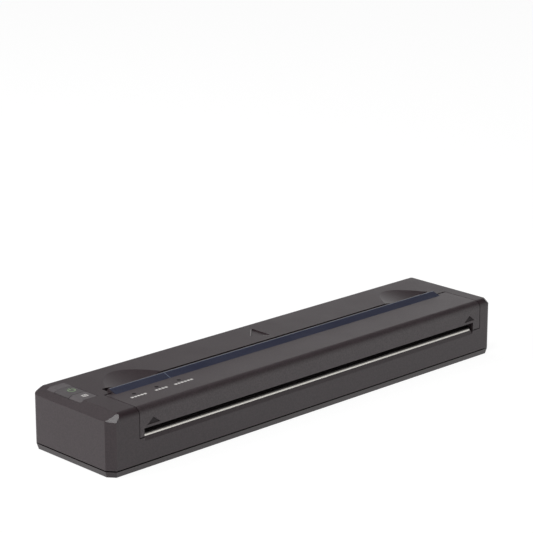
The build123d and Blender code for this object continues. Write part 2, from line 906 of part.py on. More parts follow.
def cover_inner_frame():
    frame = prism_x(upper_guide_outline(), (frame_left[0], frame_right[1]))
    for x in (frame_left, frame_right):
        frame += prism_x(frame_plate_outline(), x)
    first = indicator_places()[-1] + 8.0
    count = int((paper_right - first) / rib_pitch) + 1
    for k in range(count):
        x = first + k * rib_pitch
        outline = [
            (hinge_y + 0.5, slot_roof + 0.6),
            (hinge_y + 0.5, under_top),
            (platen_y - platen_radius - 2.0, under_top),
            (platen_y - platen_radius - 2.0, guide_top + 2.5),
        ]
        frame += prism_x(outline, (x, x + rib_thickness))
    for x in (frame_left, frame_right):
        frame -= rod_x(journal_radius + 1.1 + seat_fit, grown(x, 1), platen_y, platen_z)
    return frame


def platen_bushes():
    bushes = []
    for x in (frame_left, frame_right):
        ring = rod_x(journal_radius + 1.1, x, platen_y, platen_z)
        bushes.append(ring - rod_x(journal_radius + running_fit, grown(x, 1), platen_y, platen_z))
    return bushes


# ---------------------------------------------------------------- platen
def platen_shaft():
    core = rod_x(platen_core_radius, (paper_left, paper_right), platen_y, platen_z)
    journals = rod_x(journal_radius, (train_plane[0], frame_right[1] + 1.8), platen_y, platen_z)
    return core + journals


def platen_rubber():
    x = (paper_left, paper_right)
    tube = rod_x(platen_radius, x, platen_y, platen_z)
    return tube - rod_x(platen_core_radius, grown(x, 1), platen_y, platen_z)


def platen_clip():
    """Retaining ring on the free end of the platen's shaft."""
    x = (frame_right[1] + 0.4, frame_right[1] + 1.0)
    ring = rod_x(journal_radius + 1.0, x, platen_y, platen_z)
    ring -= rod_x(journal_radius + seat_fit, grown(x, 1), platen_y, platen_z)
    return ring - box(grown(x, 1), (platen_y - 0.8, platen_y + 0.8), (platen_z, platen_z + 5))


# ---------------------------------------------------------------- gears
def involute(angle):
    return math.tan(angle) - angle


def tooth_points(teeth, module):
    """(radius, half angle) pairs up one flank of a tooth."""
    pitch = teeth * module / 2
    base = pitch * math.cos(pressure_angle)
    tip = pitch + addendum_share * module
    root = pitch - dedendum_share * module
    half = (math.pi * module / 4 - gear_backlash / 4) / pitch + involute(pressure_angle)
    start = max(base, root)
    points = [(root, half - involute(math.acos(base / start)))] if root < base else []
    for k in range(flank_steps + 1):
        radius = start + (tip - start) * k / flank_steps
        points.append((radius, half - involute(math.acos(min(1.0, base / radius)))))
    return points


def gear(teeth, module, x, y, z, tooth_angle):
    """Involute spur gear on an X axis, with one tooth centred at tooth_angle from +Y."""
    flank = tooth_points(teeth, module)
    outline = []
    for k in range(teeth):
        middle = tooth_angle + 2 * math.pi * k / teeth
        polar = [(r, middle - a) for r, a in flank] + [(r, middle + a) for r, a in reversed(flank)]
        outline += [(y + r * math.cos(t), z + r * math.sin(t)) for r, t in polar]
    return prism_x(outline, x)


def meshing_angle(tooth_angle, direction, pitch_radius, next_radius, module):
    """Tooth angle of the next gear that centres its gap on the first gear's tooth."""
    arc = (tooth_angle - direction) * pitch_radius + math.pi * module / 2
    return direction + math.pi - arc / next_radius


platen_tooth = math.atan2(idler_z - platen_z, idler_y - platen_y)
idler_tooth = meshing_angle(platen_tooth, platen_tooth, platen_pitch, idler_pitch, train_module)
small_tooth = meshing_angle(idler_tooth, reduction_angle, idler_pitch, small_pitch, train_module)
big_tooth = small_tooth
pinion_tooth = meshing_angle(big_tooth, motor_angle, big_pitch, pinion_pitch, motor_module)


def platen_gear():
    wheel = gear(platen_teeth, train_module, train_plane, platen_y, platen_z, platen_tooth)
    return wheel - rod_x(journal_radius, grown(train_plane, 1), platen_y, platen_z)


def idler_gear():
    wheel = gear(idler_teeth, train_module, train_plane, idler_y, idler_z, idler_tooth)
    return wheel - rod_x(stud_radius + running_fit, grown(train_plane, 1), idler_y, idler_z)


def reduction_gear():
    small_x = (motor_plane[1] - 0.1, train_plane[1])
    small = gear(small_teeth, train_module, small_x, reduction_y, reduction_z, small_tooth)
    big = gear(big_teeth, motor_module, motor_plane, reduction_y, reduction_z, big_tooth)
    span = (motor_plane[0] - 1, train_plane[1] + 1)
    wheel = big + small
    web = rod_x(big_pitch - 1.6, (motor_plane[0] - 1, motor_plane[0] + 0.4), reduction_y, reduction_z)
    web -= rod_x(small_pitch, (motor_plane[0] - 2, motor_plane[0] + 1), reduction_y, reduction_z)
    return wheel - web - rod_x(stud_radius + running_fit, span, reduction_y, reduction_z)


def motor_pinion():
    wheel = gear(pinion_teeth, motor_module, motor_plane, motor_y, motor_z, pinion_tooth)
    shaft = rod_x(motor_shaft_radius, (motor_plane[0], frame_left[1] - 0.1), motor_y, motor_z)
    return wheel + shaft


def gear_studs():
    """The idler's stud stands on the motor bracket, the reduction gear's on the chassis plate."""
    idler = rod_x(stud_radius, (train_plane[0] + 0.05, frame_left[0]), idler_y, idler_z)
    reduction = rod_x(stud_radius, (plate_left[1], train_plane[1]), reduction_y, reduction_z)
    return [idler, reduction]


# ---------------------------------------------------------------- motor
def motor_bracket():
    """Upright plate between the gears and the motor, standing on the chassis."""
    low = floor_z + chassis_floor
    outline = [
        (idler_y - 3.2, low),
        (idler_y - 3.2, idler_z + 2.4),
        (idler_y + 3.6, idler_z + 2.4),
        (reduction_y + 0.6, motor_z + motor_radius + 0.4),
        (motor_y + motor_radius - 0.4, motor_z + motor_radius + 0.4),
        (motor_y + motor_radius - 0.4, low),
    ]
    plate = prism_x(outline, frame_left)
    plate -= rod_x(motor_boss_radius + 0.1, grown(frame_left, 1), motor_y, motor_z)
    for y, z in motor_screw_places():
        plate -= rod_x(small_screw_radius + 0.1, grown(frame_left, 1), y, z)
    return plate


def motor_screw_places():
    return [(motor_y, motor_z + side * motor_screw_offset) for side in (-1, 1)]


def motor_body():
    """Motor can with its front boss in the bracket's hole."""
    x = (frame_left[1], frame_left[1] + motor_length)
    can = rod_x(motor_radius, x, motor_y, motor_z)
    can = fillet([e for e in can.edges() if e.center().X > x[1] - 0.01], 0.8)
    boss = rod_x(motor_boss_radius, (frame_left[0], frame_left[1] + 0.1), motor_y, motor_z)
    motor = can + boss + rod_x(motor_boss_radius, (x[1] - 0.1, x[1] + 1.0), motor_y, motor_z)
    motor -= rod_x(motor_shaft_radius + running_fit, (frame_left[0] - 1, frame_left[1]), motor_y, motor_z)
    for y, z in motor_screw_places():
        motor -= rod_x(small_screw_radius + seat_fit, (frame_left[1] - 1, frame_left[1] + 2.5), y, z)
    return motor


def motor_screws():
    screws = []
    for y, z in motor_screw_places():
        head = rod_x(small_head_radius, (frame_left[0] - small_head_height, frame_left[0]), y, z)
        screws.append(head + rod_x(small_screw_radius, (frame_left[0] - 0.1, frame_left[1] + 2.0), y, z))
    return screws


def motor_cable():
    """Wires from the motor's rear end under the print head to the main board."""
    start = frame_left[1] + motor_length + 1.0
    turn_x = start + motor_cable_turn
    height = board_top + 1.5
    end_y = main_board_y[1] - 1.2
    corners = [(start, motor_y, height), (turn_x, motor_y, height), (turn_x, end_y, height)]
    path = FilletPolyline(*corners, radius=motor_cable_bend)
    return sweep(Plane(origin=corners[0], z_dir=(1, 0, 0)) * Circle(motor_cable_radius), path=path)


# ---------------------------------------------------------------- chassis and guides
def chassis_frame():
    """Bent sheet frame: a floor strip, two side plates and the wall behind the print head."""
    low = (floor_z, floor_z + chassis_floor)
    front = front_y + chassis_side_from_front
    rear = rear_y - chassis_side_from_rear
    frame = box((plate_left[0], plate_right[1]), (chassis_front_y, chassis_wall_y + chassis_wall_sheet), low)
    for x in (plate_left, plate_right):
        outline = [
            (front, board_top + chassis_side_rise),
            (front, chassis_top - chassis_side_bevel),
            (front + chassis_side_bevel, chassis_top),
            (rear - chassis_side_bevel, chassis_top),
            (rear, chassis_top - chassis_side_bevel),
            (rear, board_top + chassis_side_rise),
            (chassis_wall_y + chassis_wall_sheet, floor_z),
            (chassis_front_y, floor_z),
        ]
        if x is plate_right:
            outline[3:6] = [
                (chassis_wall_y + chassis_wall_sheet, chassis_top),
            ]
        frame += prism_x(outline, x)
    wall_x = (frame_left[1] + motor_length + 8.0, plate_right[0] + 0.1)
    frame += box(wall_x, (chassis_wall_y, chassis_wall_y + chassis_wall_sheet), (floor_z, chassis_top))
    frame -= rod_x(stud_radius + seat_fit, (plate_left[0] - 1, plate_left[1] + 1), reduction_y, reduction_z)
    for x in chassis_screw_places():
        frame -= rod_z(screw_radius + 0.1, x, chassis_screw_y(), (floor_z - 1, floor_z + 2))
    return frame


def chassis_screw_places():
    return [plate_left[0] + chassis_screw_inset, paper_centre, plate_right[1] - chassis_screw_inset]


def chassis_screw_y():
    return chassis_front_y + chassis_screw_from_front


def lower_paper_guide():
    """Fixed guide: a flat table from the slot, then a trough round the underside of the platen."""
    table_x = (plate_left[1], plate_right[0])
    trough_x = (frame_left[1] + body_gap, frame_right[0] - body_gap + 3.0)
    outer = platen_radius + guide_arc_gap + guide_thickness
    low = guide_top - guide_thickness
    guide = box(table_x, (front_y + wall, guide_table_rear), (low, guide_top))
    guide += box(trough_x, (guide_table_rear - 0.1, platen_y), (low, guide_top))
    trough = rod_x(outer, trough_x, platen_y, platen_z)
    guide += trough & box(trough_x, (platen_y - platen_radius, platen_y), (low - platen_radius, guide_top))
    rear_z = (low - platen_radius, platen_z - platen_core_radius)
    guide += trough & box(trough_x, (platen_y - 0.1, head_front - 0.4), rear_z)
    guide -= rod_x(platen_radius + guide_arc_gap, grown(trough_x, 1), platen_y, platen_z)
    return guide - rod_z(sensor_hole_radius, sensor_x, sensor_y, (low - 1, guide_top + 1))


def feed_lip_strip():
    """Pale strip along the lower lip of the feed slot."""
    y = (lip_y + lip_strip_clearance, lip_y + lip_strip_clearance + lip_strip_depth)
    x = (slot_left, slot_right - lip_strip_end_gap)
    return box(x, y, (slot_floor, slot_floor + lip_strip_height))


def paper_sensor():
    low = guide_top - guide_thickness
    x = around(sensor_x, sensor_width / 2)
    return box(x, around(sensor_y, sensor_length / 2), (low - sensor_height, low))


def cover_switch():
    """Small switch on the right-hand chassis plate, with its plunger under the cover's post."""
    low = chassis_top - 1.2
    body = box((plate_right[1], plate_right[1] + 2.8), grown(switch_plunger_y, 3.0), (chassis_top - 6.0, low))
    return body + box(switch_plunger_x, switch_plunger_y, (low - 0.1, chassis_top))


# ---------------------------------------------------------------- print head
def head_substrate():
    """Glazed plate with the heater line, facing the platen."""
    return box(head_x, (head_front, head_back), (head_bottom, head_top))


def head_heat_sink():
    """Aluminium bar behind the heater plate, grooved along its back and pivoted at its foot."""
    bar = box(head_x, (head_back, sink_back), (sink_bottom, sink_top))
    for z in (head_pivot_z + 3.2, head_pivot_z + 9.0):
        bar -= box(grown(head_x, 1), (sink_back - 1.0, sink_back + 1), (z, z + 1.4))
    return bar - rod_x(head_pivot_radius + running_fit, grown(head_x, 1), head_pivot_y(), head_pivot_z)


def head_pivot_y():
    return (head_back + sink_back) / 2


def head_pivot_rod():
    x = (frame_left[1] + 2 * body_gap, plate_right[0])
    return rod_x(head_pivot_radius, x, head_pivot_y(), head_pivot_z)


def head_pivot_stands():
    """Forked stands on the chassis floor that hold the head's pivot rod."""
    stands = []
    for x in ((head_x[0] - 1.6, head_x[0] - body_gap), (head_x[1] + body_gap, head_x[1] + 1.6)):
        y = around(head_pivot_y(), head_pivot_radius + head_stand_margin)
        stand = box(x, y, (floor_z + chassis_floor, head_pivot_z + head_pivot_radius + head_stand_margin))
        stands.append(stand - rod_x(head_pivot_radius + seat_fit, grown(x, 1), head_pivot_y(), head_pivot_z))
    return stands


def head_spring_places():
    step = (head_x[1] - head_x[0]) / head_spring_count
    return [head_x[0] + (k + 0.5) * step for k in range(head_spring_count)]


def head_springs():
    """Coil springs between the chassis wall and the back of the heat sink."""
    length = chassis_wall_y - sink_back - 2 * head_spring_wire - 0.1
    springs = []
    for x in head_spring_places():
        start = sink_back + head_spring_wire + 0.05
        coil = Helix(length / head_spring_turns, length, head_spring_radius)
        section = Plane(origin=coil @ 0, z_dir=coil % 0) * Circle(head_spring_wire)
        spring = sweep(section, path=coil, is_frenet=True)
        springs.append(Pos(x, start, head_top - 2.6) * Rot(-90, 0, 0) * spring)
    return springs


def head_flex_cable():
    """Flat cable from the foot of the heater plate down to the main board's connector."""
    width = around(paper_centre, head_flex_width / 2)
    y = head_front + 0.3
    low = board_top + 1.0
    end = main_board_y[1] - 1.4
    outline = [
        (y, head_bottom),
        (y + 0.3, head_bottom),
        (y + 0.3, low + 1.2),
        (y - 0.9, low),
        (end, low),
        (end, low + 0.3),
        (y - 1.1, low + 0.3),
        (y, low + 1.4),
    ]
    return prism_x(outline, width)


# ---------------------------------------------------------------- boards and sockets
def main_board_posts():
    x = (main_board_x[0] + 4.0, main_board_x[1] - 4.0)
    y = (main_board_y[0] + 3.0, main_board_y[1] - 3.0)
    return [(px, py) for px in x for py in y]


def port_board_posts():
    y = port_board_y[0] + 2.4
    return [(port_board_x[0] + 2.6, y), (port_board_x[1] - 2.6, y)]


def main_board():
    board = box(main_board_x, main_board_y, (board_top - board_thickness, board_top))
    for x, y in main_board_posts():
        board -= rod_z(small_screw_radius + 0.1, x, y, (board_top - 5, board_top + 5))
    return board


def board_screws():
    screws = []
    for x, y in main_board_posts() + port_board_posts():
        head = rod_z(small_head_radius, x, y, (board_top, board_top + small_head_height))
        screws.append(head + rod_z(small_screw_radius, x, y, (floor_z + 0.6, board_top + 0.1)))
    return screws


def chip(x, size, height):
    """Square part in the middle of the main board's depth."""
    middle = (main_board_y[0] + main_board_y[1]) / 2
    return box(around(x, size / 2), around(middle, size / 2), (board_top, board_top + height))


def board_components():
    """Connectors, chips and power parts on the main board."""
    middle = (main_board_y[0] + main_board_y[1]) / 2
    rear = main_board_y[1]
    flex_x = around(paper_centre, head_flex_width / 2 + 1.5)
    cable_x = frame_left[1] + motor_length + motor_cable_turn + 1.0
    parts = [
        box(flex_x, (rear - 5.0, rear - 1.4), (board_top, board_top + 2.4)),
        box(around(cable_x, 4.0), (rear - 5.5, rear - 1.2), (board_top, board_top + 3.4)),
        chip(paper_centre - processor_from_centre, processor_size, processor_height),
        chip(paper_centre - memory_from_centre, memory_size, memory_height),
        chip(main_board_x[1] - coil_from_end, coil_size, coil_height),
    ]
    for k in range(3):
        x = main_board_x[1] - capacitor_from_end - k * capacitor_pitch
        parts.append(rod_z(capacitor_radius, x, middle, (board_top, board_top + capacitor_height)))
    for k in range(8):
        x = paper_centre + (k - 4) * resistor_pitch
        y = main_board_y[0] + resistor_from_front
        parts.append(box((x, x + 2.0), (y, y + 1.2), (board_top, board_top + 0.7)))
    return parts


def radio_module():
    middle = (main_board_y[0] + main_board_y[1]) / 2
    right = main_board_x[1] - radio_from_end
    low = (board_top, board_top + radio_board)
    base = box((right - radio_length, right), around(middle, radio_width / 2), low)
    can = (right - radio_length + radio_margin, right - radio_antenna)
    half = radio_width / 2 - radio_margin
    return base + box(can, around(middle, half), (low[1] - 0.1, low[1] + radio_can_height))


def port_board():
    board = box(port_board_x, port_board_y, (board_top - board_thickness, board_top))
    for x, y in port_board_posts():
        board -= rod_z(small_screw_radius + 0.1, x, y, (board_top - 5, board_top + 5))
    return board


def dc_jack():
    rear = rear_y - 0.6
    z = (board_top, board_top + jack_height)
    middle = (z[0] + z[1]) / 2
    body = box(around(jack_x, jack_width / 2), (rear - jack_depth, rear - wall + 0.4), z)
    body += rod_y(jack_height / 2, jack_x, (rear - 3, rear), middle)
    body -= rod_y(jack_bore, jack_x, (rear - jack_depth + 1.2, rear + 1), middle)
    return body + rod_y(jack_pin, jack_x, (rear - jack_depth + 1, rear - 1), middle)


def usb_c_socket():
    rear = rear_y - 0.5
    y = (rear - usb_depth, rear)
    z = board_top + usb_height / 2
    shell = rounded_slot(usb_width, usb_height, y, usb_x, z)
    inside = (y[0] + 1.0, y[1] + 1)
    shell -= rounded_slot(usb_width - 2 * usb_shell, usb_height - 2 * usb_shell, inside, usb_x, z)
    return shell + box(around(usb_x, 3.35), (y[0] + 0.9, y[1] - 0.6), around(z, 0.35))


# ---------------------------------------------------------------- keys
def key_cap(y):
    x = grown(panel_x, -panel_gap)
    span = grown(y, -panel_gap / 2)
    cap = box(x, span, (top_z - key_cap_height, top_z))
    cap = fillet([e for e in cap.edges() if abs(e.center().Z - top_z + key_cap_height / 2) < 0.01], 0.5)
    under_cap = top_z - key_cap_height
    flange_x = (x[0], x[1] + key_flange)
    flange = box(flange_x, grown(span, -0.3), (under_cap - key_flange_height, under_cap + 0.05))
    middle = (y[0] + y[1]) / 2
    stem = rod_z(key_stem_radius, (x[0] + x[1]) / 2, middle, (key_bottom, under_cap))
    return (cap & outer_block()) + flange + stem


def panel_inlay():
    x = grown(panel_x, -seat_fit)
    y = grown(inlay_y, -seat_fit)
    return box(x, y, (top_z - inlay_thickness, top_z)) & outer_block()


def key_board():
    x = (panel_x[0] - 1.2, panel_x[1] + 1.2)
    y = (feed_y[0] - key_boss_front - 2.0, rear_y - wall - body_gap)
    board = box(x, y, (key_board_top - key_board_thickness, key_board_top))
    for px, py in key_screw_places():
        board -= rod_z(small_screw_radius + 0.1, px, py, (key_board_top - 5, key_board_top + 5))
    return board


def key_screw_places():
    x = (panel_x[0] + panel_x[1]) / 2
    return [(x, feed_y[0] - key_boss_front), (x, rear_y - wall - key_boss_rear)]


def key_dome_sheet():
    """Flexible sheet with a snap dome under each key."""
    x = grown(panel_x, -1.0)
    base = (key_board_top, key_board_top + dome_sheet)
    sheet = box(x, (feed_y[0] + 0.4, power_y[1] + 2.0), base)
    for y in (feed_y, power_y):
        middle = (y[0] + y[1]) / 2
        dome = Cone(dome_radius, dome_top_radius, dome_height)
        sheet += Pos((x[0] + x[1]) / 2, middle, base[1] + dome_height / 2 - 0.01) * dome
    return sheet


def key_screws():
    screws = []
    for x, y in key_screw_places():
        low = key_board_top - key_board_thickness
        head = rod_z(small_head_radius, x, y, (low - small_head_height, low))
        screws.append(head + rod_z(small_screw_radius, x, y, (low - 0.1, key_board_top + 2.5)))
    return screws


# ---------------------------------------------------------------- battery
def battery_pack():
    y = (battery_front, battery_front + battery_thickness)
    z = (floor_z + battery_rise, floor_z + battery_rise + battery_height)
    pack = box(battery_x, y, z)
    long_edges = [e for e in pack.edges() if abs(e.center().X - (battery_x[0] + battery_x[1]) / 2) < 0.01]
    return fillet(long_edges, 1.2)


def battery_contacts():
    """Contact block at the inner end of the battery bay."""
    x = (battery_x[0] - body_gap - contact_depth, battery_x[0] - body_gap)
    y = (battery_front + 0.4, battery_front + battery_thickness - 0.4)
    block = box(x, y, (floor_z, floor_z + contact_height))
    for k in range(3):
        z = floor_z + 4.4 + 2.6 * k
        block += box((x[1] - 0.1, x[1] + 0.2), around((y[0] + y[1]) / 2, 2.0), (z, z + 1.2))
    return block


def battery_door():
    """End door: a panel with a hinge barrel down its front edge and a finger scoop at the rear."""
    panel = box((right_x - wall, right_x), (door_hinge_y, door_rear - door_panel_gap), door_z)
    barrel = rod_z(door_axis_radius, door_hinge_x, door_hinge_y, door_z)
    middle = (door_z[0] + door_z[1]) / 2
    inner = right_x - wall
    catch = box((inner - 0.8, inner + 0.1), (door_rear - 2.6, door_rear - 1.0), around(middle, 3.0))
    door = panel + barrel + catch
    scoop = rod_z(scoop_radius, right_x + scoop_radius - 0.6, door_rear - 3.2, around(middle, 4.0))
    return door - scoop - rod_z(door_pin_radius + running_fit, door_hinge_x, door_hinge_y, grown(door_z, 1))


def door_pin():
    return rod_z(door_pin_radius, door_hinge_x, door_hinge_y, (case_bottom, door_z[1] + 1.8))


# ---------------------------------------------------------------- chassis screws
def chassis_screws():
    screws = []
    for x in chassis_screw_places():
        top = floor_z + chassis_floor
        head = rod_z(screw_head_radius - 0.4, x, chassis_screw_y(), (top, top + 1.0))
        screws.append(head + rod_z(screw_radius, x, chassis_screw_y(), (floor_z, top + 0.1)))
    return screws


os.makedirs("parts", exist_ok=True)
save("upper_case", upper_case())
save("lower_case", lower_case())
save("rubber_feet", rubber_feet())
save("case_screws", case_screws())
save("cover_shell", cover_shell())
save("blue_strip", blue_strip())
save("cover_inner_frame", cover_inner_frame())
save("hinge_pins", hinge_pins())
save("light_pipes", light_pipes())
save("indicator_board", indicator_board())
save("platen_bushes", platen_bushes())
save("platen_shaft", platen_shaft())
save("platen_rubber", platen_rubber())
save("platen_clip", platen_clip())
save("platen_gear", platen_gear())
save("idler_gear", idler_gear())
save("reduction_gear", reduction_gear())
save("motor_pinion", motor_pinion())
save("gear_studs", gear_studs())
save("motor_bracket", motor_bracket())
save("motor_body", motor_body())
save("motor_screws", motor_screws())
save("motor_cable", motor_cable())
save("chassis_frame", chassis_frame())
save("chassis_screws", chassis_screws())
save("lower_paper_guide", lower_paper_guide())
save("feed_lip_strip", feed_lip_strip())
save("paper_sensor", paper_sensor())
save("cover_switch", cover_switch())
save("head_substrate", head_substrate())
save("head_heat_sink", head_heat_sink())
save("head_pivot_rod", head_pivot_rod())
save("head_pivot_stands", head_pivot_stands())
save("head_springs", head_springs())
save("head_flex_cable", head_flex_cable())
save("main_board", main_board())
save("board_components", board_components())
save("board_screws", board_screws())
save("radio_module", radio_module())
save("port_board", port_board())
save("dc_jack", dc_jack())
save("usb_c_socket", usb_c_socket())
save("feed_key", key_cap(feed_y))
save("power_key", key_cap(power_y))
save("panel_inlay", panel_inlay())
save("key_board", key_board())
save("key_dome_sheet", key_dome_sheet())
save("key_screws", key_screws())
save("battery_pack", battery_pack())
save("battery_contacts", battery_contacts())
save("battery_door", battery_door())
save("door_pin", door_pin())
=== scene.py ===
import json
import math

import bmesh
import bpy
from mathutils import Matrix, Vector


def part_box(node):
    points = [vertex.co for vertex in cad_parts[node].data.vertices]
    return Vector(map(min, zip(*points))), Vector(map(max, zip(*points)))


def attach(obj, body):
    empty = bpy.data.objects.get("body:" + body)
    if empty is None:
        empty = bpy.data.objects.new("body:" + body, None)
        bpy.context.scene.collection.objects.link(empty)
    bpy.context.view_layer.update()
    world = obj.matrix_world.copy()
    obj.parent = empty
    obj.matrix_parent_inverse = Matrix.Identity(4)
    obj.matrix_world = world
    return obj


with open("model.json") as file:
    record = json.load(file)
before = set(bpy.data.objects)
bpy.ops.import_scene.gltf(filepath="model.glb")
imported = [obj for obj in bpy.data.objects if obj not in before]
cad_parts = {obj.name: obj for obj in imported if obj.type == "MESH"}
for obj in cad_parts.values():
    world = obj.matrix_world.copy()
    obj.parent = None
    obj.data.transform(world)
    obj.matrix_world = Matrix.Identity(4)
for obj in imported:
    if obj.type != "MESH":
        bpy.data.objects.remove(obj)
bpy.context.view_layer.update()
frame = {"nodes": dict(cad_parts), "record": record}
nodes = frame["nodes"]

# Everything below is in metres and in the part's own frame.

# ---------------------------------------------------------------- camera, at the photograph's angle
CAMERA_PLACE = (-0.6956, -0.7185, 0.3605)
CAMERA_YAW = math.radians(43.82)
CAMERA_PITCH = math.radians(16.34)
CAMERA_NEAR = 0.01
SENSOR_MM = 36.0
LENS_IN_IMAGE_WIDTHS = 4.063

# ---------------------------------------------------------------- boxes of the nodes that carry marks
case_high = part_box("upper_case")[1]
cover_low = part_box("cover_shell")[0]
strip_low, strip_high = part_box("blue_strip")
power_low, power_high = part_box("power_key")
feed_low, feed_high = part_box("feed_key")
pipe_low, pipe_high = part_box("light_pipes")
lip_low, lip_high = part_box("feed_lip_strip")
TOP = case_high.z

# ---------------------------------------------------------------- sizes of the printed marks
PRINT = 0.00003  # thickness of the ink
PRINT_LIFT = 0.00001  # gap under it, so that no two faces share a plane

# power key: a ring with a gap, and a stroke of this width and length in the gap
RING_RADII = (0.00145, 0.00195)
RING_GAP = math.radians(34.0)
RING_STROKE = (0.0006, 0.0018)
RING_SHIFT = (0.0010, 0.0003)
RING_STEPS = 48

# feed key: a sheet's width, depth and line, with an arrow's shaft and head
FEED_ICON = (0.0029, 0.0025, 0.0005)
FEED_SHIFT = (0.0008, 0.0)
FEED_SHAFT = (0.0005, 0.0010)
FEED_SHAFT_SHIFT = 0.0002
FEED_HEAD_HALF = 0.0007
FEED_HEAD_BASE = 0.0002
FEED_HEAD_TIP = 0.0009

# indicator lights: dark rings of painted shade round them, and square bars in front of them
LIGHT_MARGIN = 0.0012
LIGHT_RING = (0.00062, 0.00095)
BAR_COUNTS = (5, 4, 6)
BAR_PITCH = 0.0019
BAR_SIZE = 0.0014
BAR_OFFSET = 0.0034

# blue strip: a line across it, and a painted highlight along its crest
TICK_X = -0.0735
TICK_WIDTH = 0.0004
CREST_HIGHLIGHT_WIDTH = 0.00035

# centre mark: ends of the painted highlights on two of its edges, in X from the strip's middle and in Y
MARK_SHIFT = 0.0008
MARK_LINE = 0.0003
MARK_LINES = (
    ((-0.0083, 0.0133), (-0.0012, 0.0204)),
    ((-0.0033, 0.0097), (-0.0002, 0.0076)),
)

# arrows over the ends of the feed slot: base above the lip strip's foot, middles from the strip's ends
ARROW_RECESS = 0.00035
ARROW_BASE = 0.00528
ARROW_WIDTH = 0.0074
ARROW_HEIGHT = 0.0030
ARROW_LEFT = 0.0052
ARROW_RIGHT = 0.0012


# ---------------------------------------------------------------- mesh helpers
def new_mesh(name, mesh_builder):
    """A mesh object whose faces are made by mesh_builder(bm)."""
    bm = bmesh.new()
    mesh_builder(bm)
    bmesh.ops.recalc_face_normals(bm, faces=bm.faces)
    mesh = bpy.data.meshes.new(name)
    bm.to_mesh(mesh)
    bm.free()
    obj = bpy.data.objects.new(name, mesh)
    bpy.context.scene.collection.objects.link(obj)
    return obj


def add_slab(bm, outline, low, high):
    """Closed prism over an (x, y) outline between two heights."""
    bottom = [bm.verts.new((x, y, low)) for x, y in outline]
    top = [bm.verts.new((x, y, high)) for x, y in outline]
    bm.faces.new(reversed(bottom))
    bm.faces.new(top)
    for k in range(len(outline)):
        n = (k + 1) % len(outline)
        bm.faces.new((bottom[k], bottom[n], top[n], top[k]))


def add_ring(bm, centre, inner, outer, low, high, start=0.0, sweep=2 * math.pi):
    """Closed ring, or an arc of one, between two radii and two heights."""
    whole = sweep > 2 * math.pi - 1e-6
    count = RING_STEPS if whole else RING_STEPS + 1
    rows = []
    for k in range(count):
        a = start + sweep * k / RING_STEPS
        c, s = math.cos(a), math.sin(a)
        points = ((inner, low), (outer, low), (outer, high), (inner, high))
        rows.append([bm.verts.new((centre[0] + r * c, centre[1] + r * s, z)) for r, z in points])
    for k in range(RING_STEPS):
        here, there = rows[k], rows[(k + 1) % count]
        for m in range(4):
            n = (m + 1) % 4
            bm.faces.new((here[m], here[n], there[n], there[m]))
    if not whole:
        bm.faces.new(rows[0])
        bm.faces.new(reversed(rows[-1]))


def rectangle(centre, width, depth, turn=0.0):
    """Corners of a rectangle round a middle, turned by an angle."""
    c, s = math.cos(turn), math.sin(turn)
    corners = ((-1, -1), (1, -1), (1, 1), (-1, 1))
    points = [(u * width / 2, v * depth / 2) for u, v in corners]
    return [(centre[0] + x * c - y * s, centre[1] + x * s + y * c) for x, y in points]


# ---------------------------------------------------------------- material helpers
NOISE_RANGE = (0.3, 0.7)


def principled(name, colour, roughness, metallic=0.0, specular=0.5, coat=0.0):
    """New material and its shader, with the values that are the same all over."""
    material = bpy.data.materials.new(name)
    material.use_nodes = True
    shader = material.node_tree.nodes["Principled BSDF"]
    shader.inputs["Base Color"].default_value = (*colour, 1.0)
    shader.inputs["Roughness"].default_value = roughness
    shader.inputs["Metallic"].default_value = metallic
    shader.inputs["Specular IOR Level"].default_value = specular
    shader.inputs["Coat Weight"].default_value = coat
    return material, shader


def add_node(material, kind, **settings):
    """New node of a kind, with the given properties."""
    node = material.node_tree.nodes.new(kind)
    for key, value in settings.items():
        setattr(node, key, value)
    return node


def link(material, a, b):
    material.node_tree.links.new(a, b)


def noise(material, scale, detail=2.0, stretch=(1.0, 1.0, 1.0)):
    """Noise in the part's own coordinates; scale is features per metre."""
    coordinates = add_node(material, "ShaderNodeTexCoord")
    mapping = add_node(material, "ShaderNodeMapping")
    mapping.inputs["Scale"].default_value = stretch
    texture = add_node(material, "ShaderNodeTexNoise")
    texture.inputs["Scale"].default_value = scale
    texture.inputs["Detail"].default_value = detail
    link(material, coordinates.outputs["Object"], mapping.inputs["Vector"])
    link(material, mapping.outputs["Vector"], texture.inputs["Vector"])
    return texture.outputs["Fac"]


def ramp(material, factor, stops):
    """Colour ramp over (position, colour) stops."""
    node = add_node(material, "ShaderNodeValToRGB")
    elements = node.color_ramp.elements
    while len(elements) < len(stops):
        elements.new(0.5)
    for element, (position, colour) in zip(elements, stops):
        element.position = position
        element.color = (*colour, 1.0)
    link(material, factor, node.inputs["Fac"])
    return node.outputs["Color"]


def span(material, factor, low, high):
    """Noise brought from its usual range to the range low to high."""
    node = add_node(material, "ShaderNodeMapRange")
    node.inputs["From Min"].default_value = NOISE_RANGE[0]
    node.inputs["From Max"].default_value = NOISE_RANGE[1]
    node.inputs["To Min"].default_value = low
    node.inputs["To Max"].default_value = high
    link(material, factor, node.inputs["Value"])
    return node.outputs["Result"]


def multiply(material, a, b):
    """Product of two colours."""
    node = add_node(material, "ShaderNodeMix", data_type="RGBA", blend_type="MULTIPLY")
    node.inputs["Factor"].default_value = 1.0
    link(material, a, node.inputs[6])
    link(material, b, node.inputs[7])
    return node.outputs[2]


def bump(material, shader, height, strength, distance):
    """Fine relief on the shader's normal; distance is its depth."""
    node = add_node(material, "ShaderNodeBump")
    node.inputs["Strength"].default_value = strength
    node.inputs["Distance"].default_value = distance
    link(material, height, node.inputs["Height"])
    link(material, node.outputs["Normal"], shader.inputs["Normal"])


def shade(colour, factor):
    """Colour made lighter or darker."""
    return tuple(min(1.0, channel * factor) for channel in colour)


